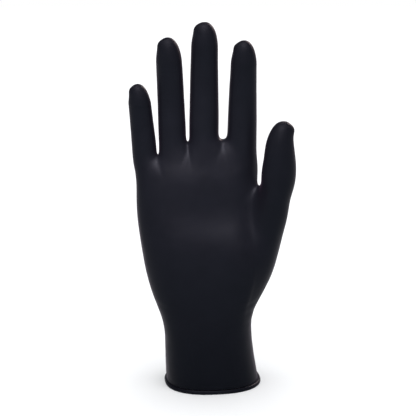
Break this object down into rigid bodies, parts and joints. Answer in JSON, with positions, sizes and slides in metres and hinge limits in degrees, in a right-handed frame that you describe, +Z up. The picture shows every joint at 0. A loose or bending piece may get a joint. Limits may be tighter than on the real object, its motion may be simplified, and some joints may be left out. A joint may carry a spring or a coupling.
{
  "type": "disposable glove",
  "caption": "Thin film disposable glove in its worn hand shape, with a rolled cuff bead, hollow fingers and a hinged section at each place where the film folds.",
  "frame": {"origin": "centre of the cuff's opening, on the plane of the bead's underside, which the glove stands on", "axes": "+Z up the fingers, +X towards the thumb, and the palm faces -Y"},
  "size_m": [0.1074, 0.0556, 0.2408],
  "materials": {
    "nitrile_film": "satin black nitrile with a faint blue tint",
    "bead_film": "satin black nitrile, rolled on itself and slightly glossier"
  },
  "bodies": {
    "cuff": {"cuff_bead": "bead_film", "cuff_sleeve": "nitrile_film"},
    "hand": {"palm_shell": "nitrile_film", "wrist_fold": "nitrile_film"},
    "little_base": {"little_base": "nitrile_film"},
    "little_middle": {"little_middle": "nitrile_film"},
    "little_tip": {"little_tip": "nitrile_film"},
    "ring_base": {"ring_base": "nitrile_film"},
    "ring_middle": {"ring_middle": "nitrile_film"},
    "ring_tip": {"ring_tip": "nitrile_film"},
    "middle_base": {"middle_base": "nitrile_film"},
    "middle_middle": {"middle_middle": "nitrile_film"},
    "middle_tip": {"middle_tip": "nitrile_film"},
    "index_base": {"index_base": "nitrile_film"},
    "index_middle": {"index_middle": "nitrile_film"},
    "index_tip": {"index_tip": "nitrile_film"},
    "thumb_base": {"thumb_base": "nitrile_film"},
    "thumb_tip": {"thumb_tip": "nitrile_film"}
  },
  "joints": [
    {"name": "wrist_flex", "type": "hinge", "parent": "cuff", "child": "hand", "pos_m": [-0.0035, 0, 0.049], "axis": [1, 0, 0], "range_deg": [-45, 45], "stiffness_Nm_per_rad": 0.05, "deforming": ["wrist_fold"]},
    {"name": "little_base_bend", "type": "hinge", "parent": "hand", "child": "little_base", "pos_m": [-0.04463, -0.00775, 0.16152], "axis": [1, 0, 0], "range_deg": [0, 80], "stiffness_Nm_per_rad": 0.02},
    {"name": "little_middle_bend", "type": "hinge", "parent": "little_base", "child": "little_middle", "pos_m": [-0.04566, -0.00857, 0.17426], "axis": [1, 0, 0], "range_deg": [0, 90], "stiffness_Nm_per_rad": 0.01},
    {"name": "little_tip_bend", "type": "hinge", "parent": "little_middle", "child": "little_tip", "pos_m": [-0.04663, -0.01015, 0.18629], "axis": [1, 0, 0], "range_deg": [0, 45], "stiffness_Nm_per_rad": 0.005},
    {"name": "ring_base_bend", "type": "hinge", "parent": "hand", "child": "ring_base", "pos_m": [-0.02629, -0.00876, 0.17119], "axis": [1, 0, 0], "range_deg": [0, 80], "stiffness_Nm_per_rad": 0.02},
    {"name": "ring_middle_bend", "type": "hinge", "parent": "ring_base", "child": "ring_middle", "pos_m": [-0.02694, -0.00998, 0.1906], "axis": [1, 0, 0], "range_deg": [0, 90], "stiffness_Nm_per_rad": 0.01},
    {"name": "ring_tip_bend", "type": "hinge", "parent": "ring_middle", "child": "ring_tip", "pos_m": [-0.02754, -0.01236, 0.20873], "axis": [1, 0, 0], "range_deg": [0, 45], "stiffness_Nm_per_rad": 0.005},
    {"name": "middle_base_bend", "type": "hinge", "parent": "hand", "child": "middle_base", "pos_m": [-0.00562, -0.00918, 0.17309], "axis": [1, 0, 0], "range_deg": [0, 80], "stiffness_Nm_per_rad": 0.02},
    {"name": "middle_middle_bend", "type": "hinge", "parent": "middle_base", "child": "middle_middle", "pos_m": [-0.00543, -0.01009, 0.19288], "axis": [1, 0, 0], "range_deg": [0, 90], "stiffness_Nm_per_rad": 0.01},
    {"name": "middle_tip_bend", "type": "hinge", "parent": "middle_middle", "child": "middle_tip", "pos_m": [-0.00523, -0.01257, 0.21426], "axis": [1, 0, 0], "range_deg": [0, 45], "stiffness_Nm_per_rad": 0.005},
    {"name": "index_base_bend", "type": "hinge", "parent": "hand", "child": "index_base", "pos_m": [0.01905, -0.00917, 0.17223], "axis": [1, 0, 0], "range_deg": [0, 80], "stiffness_Nm_per_rad": 0.02},
    {"name": "index_middle_bend", "type": "hinge", "parent": "index_base", "child": "index_middle", "pos_m": [0.01929, -0.01005, 0.18972], "axis": [1, 0, 0], "range_deg": [0, 90], "stiffness_Nm_per_rad": 0.01},
    {"name": "index_tip_bend", "type": "hinge", "parent": "index_middle", "child": "index_tip", "pos_m": [0.01953, -0.01212, 0.20723], "axis": [1, 0, 0], "range_deg": [0, 45], "stiffness_Nm_per_rad": 0.005},
    {"name": "thumb_base_bend", "type": "hinge", "parent": "hand", "child": "thumb_base", "pos_m": [0.03415, -0.02291, 0.14514], "axis": [-0.6904, 0.6904, 0.2158], "range_deg": [-40, 0], "stiffness_Nm_per_rad": 0.02},
    {"name": "thumb_tip_bend", "type": "hinge", "parent": "thumb_base", "child": "thumb_tip", "pos_m": [0.03515, -0.02333, 0.15417], "axis": [-0.7038, 0.7038, 0.0972], "range_deg": [-60, 0], "stiffness_Nm_per_rad": 0.01}
  ]
}
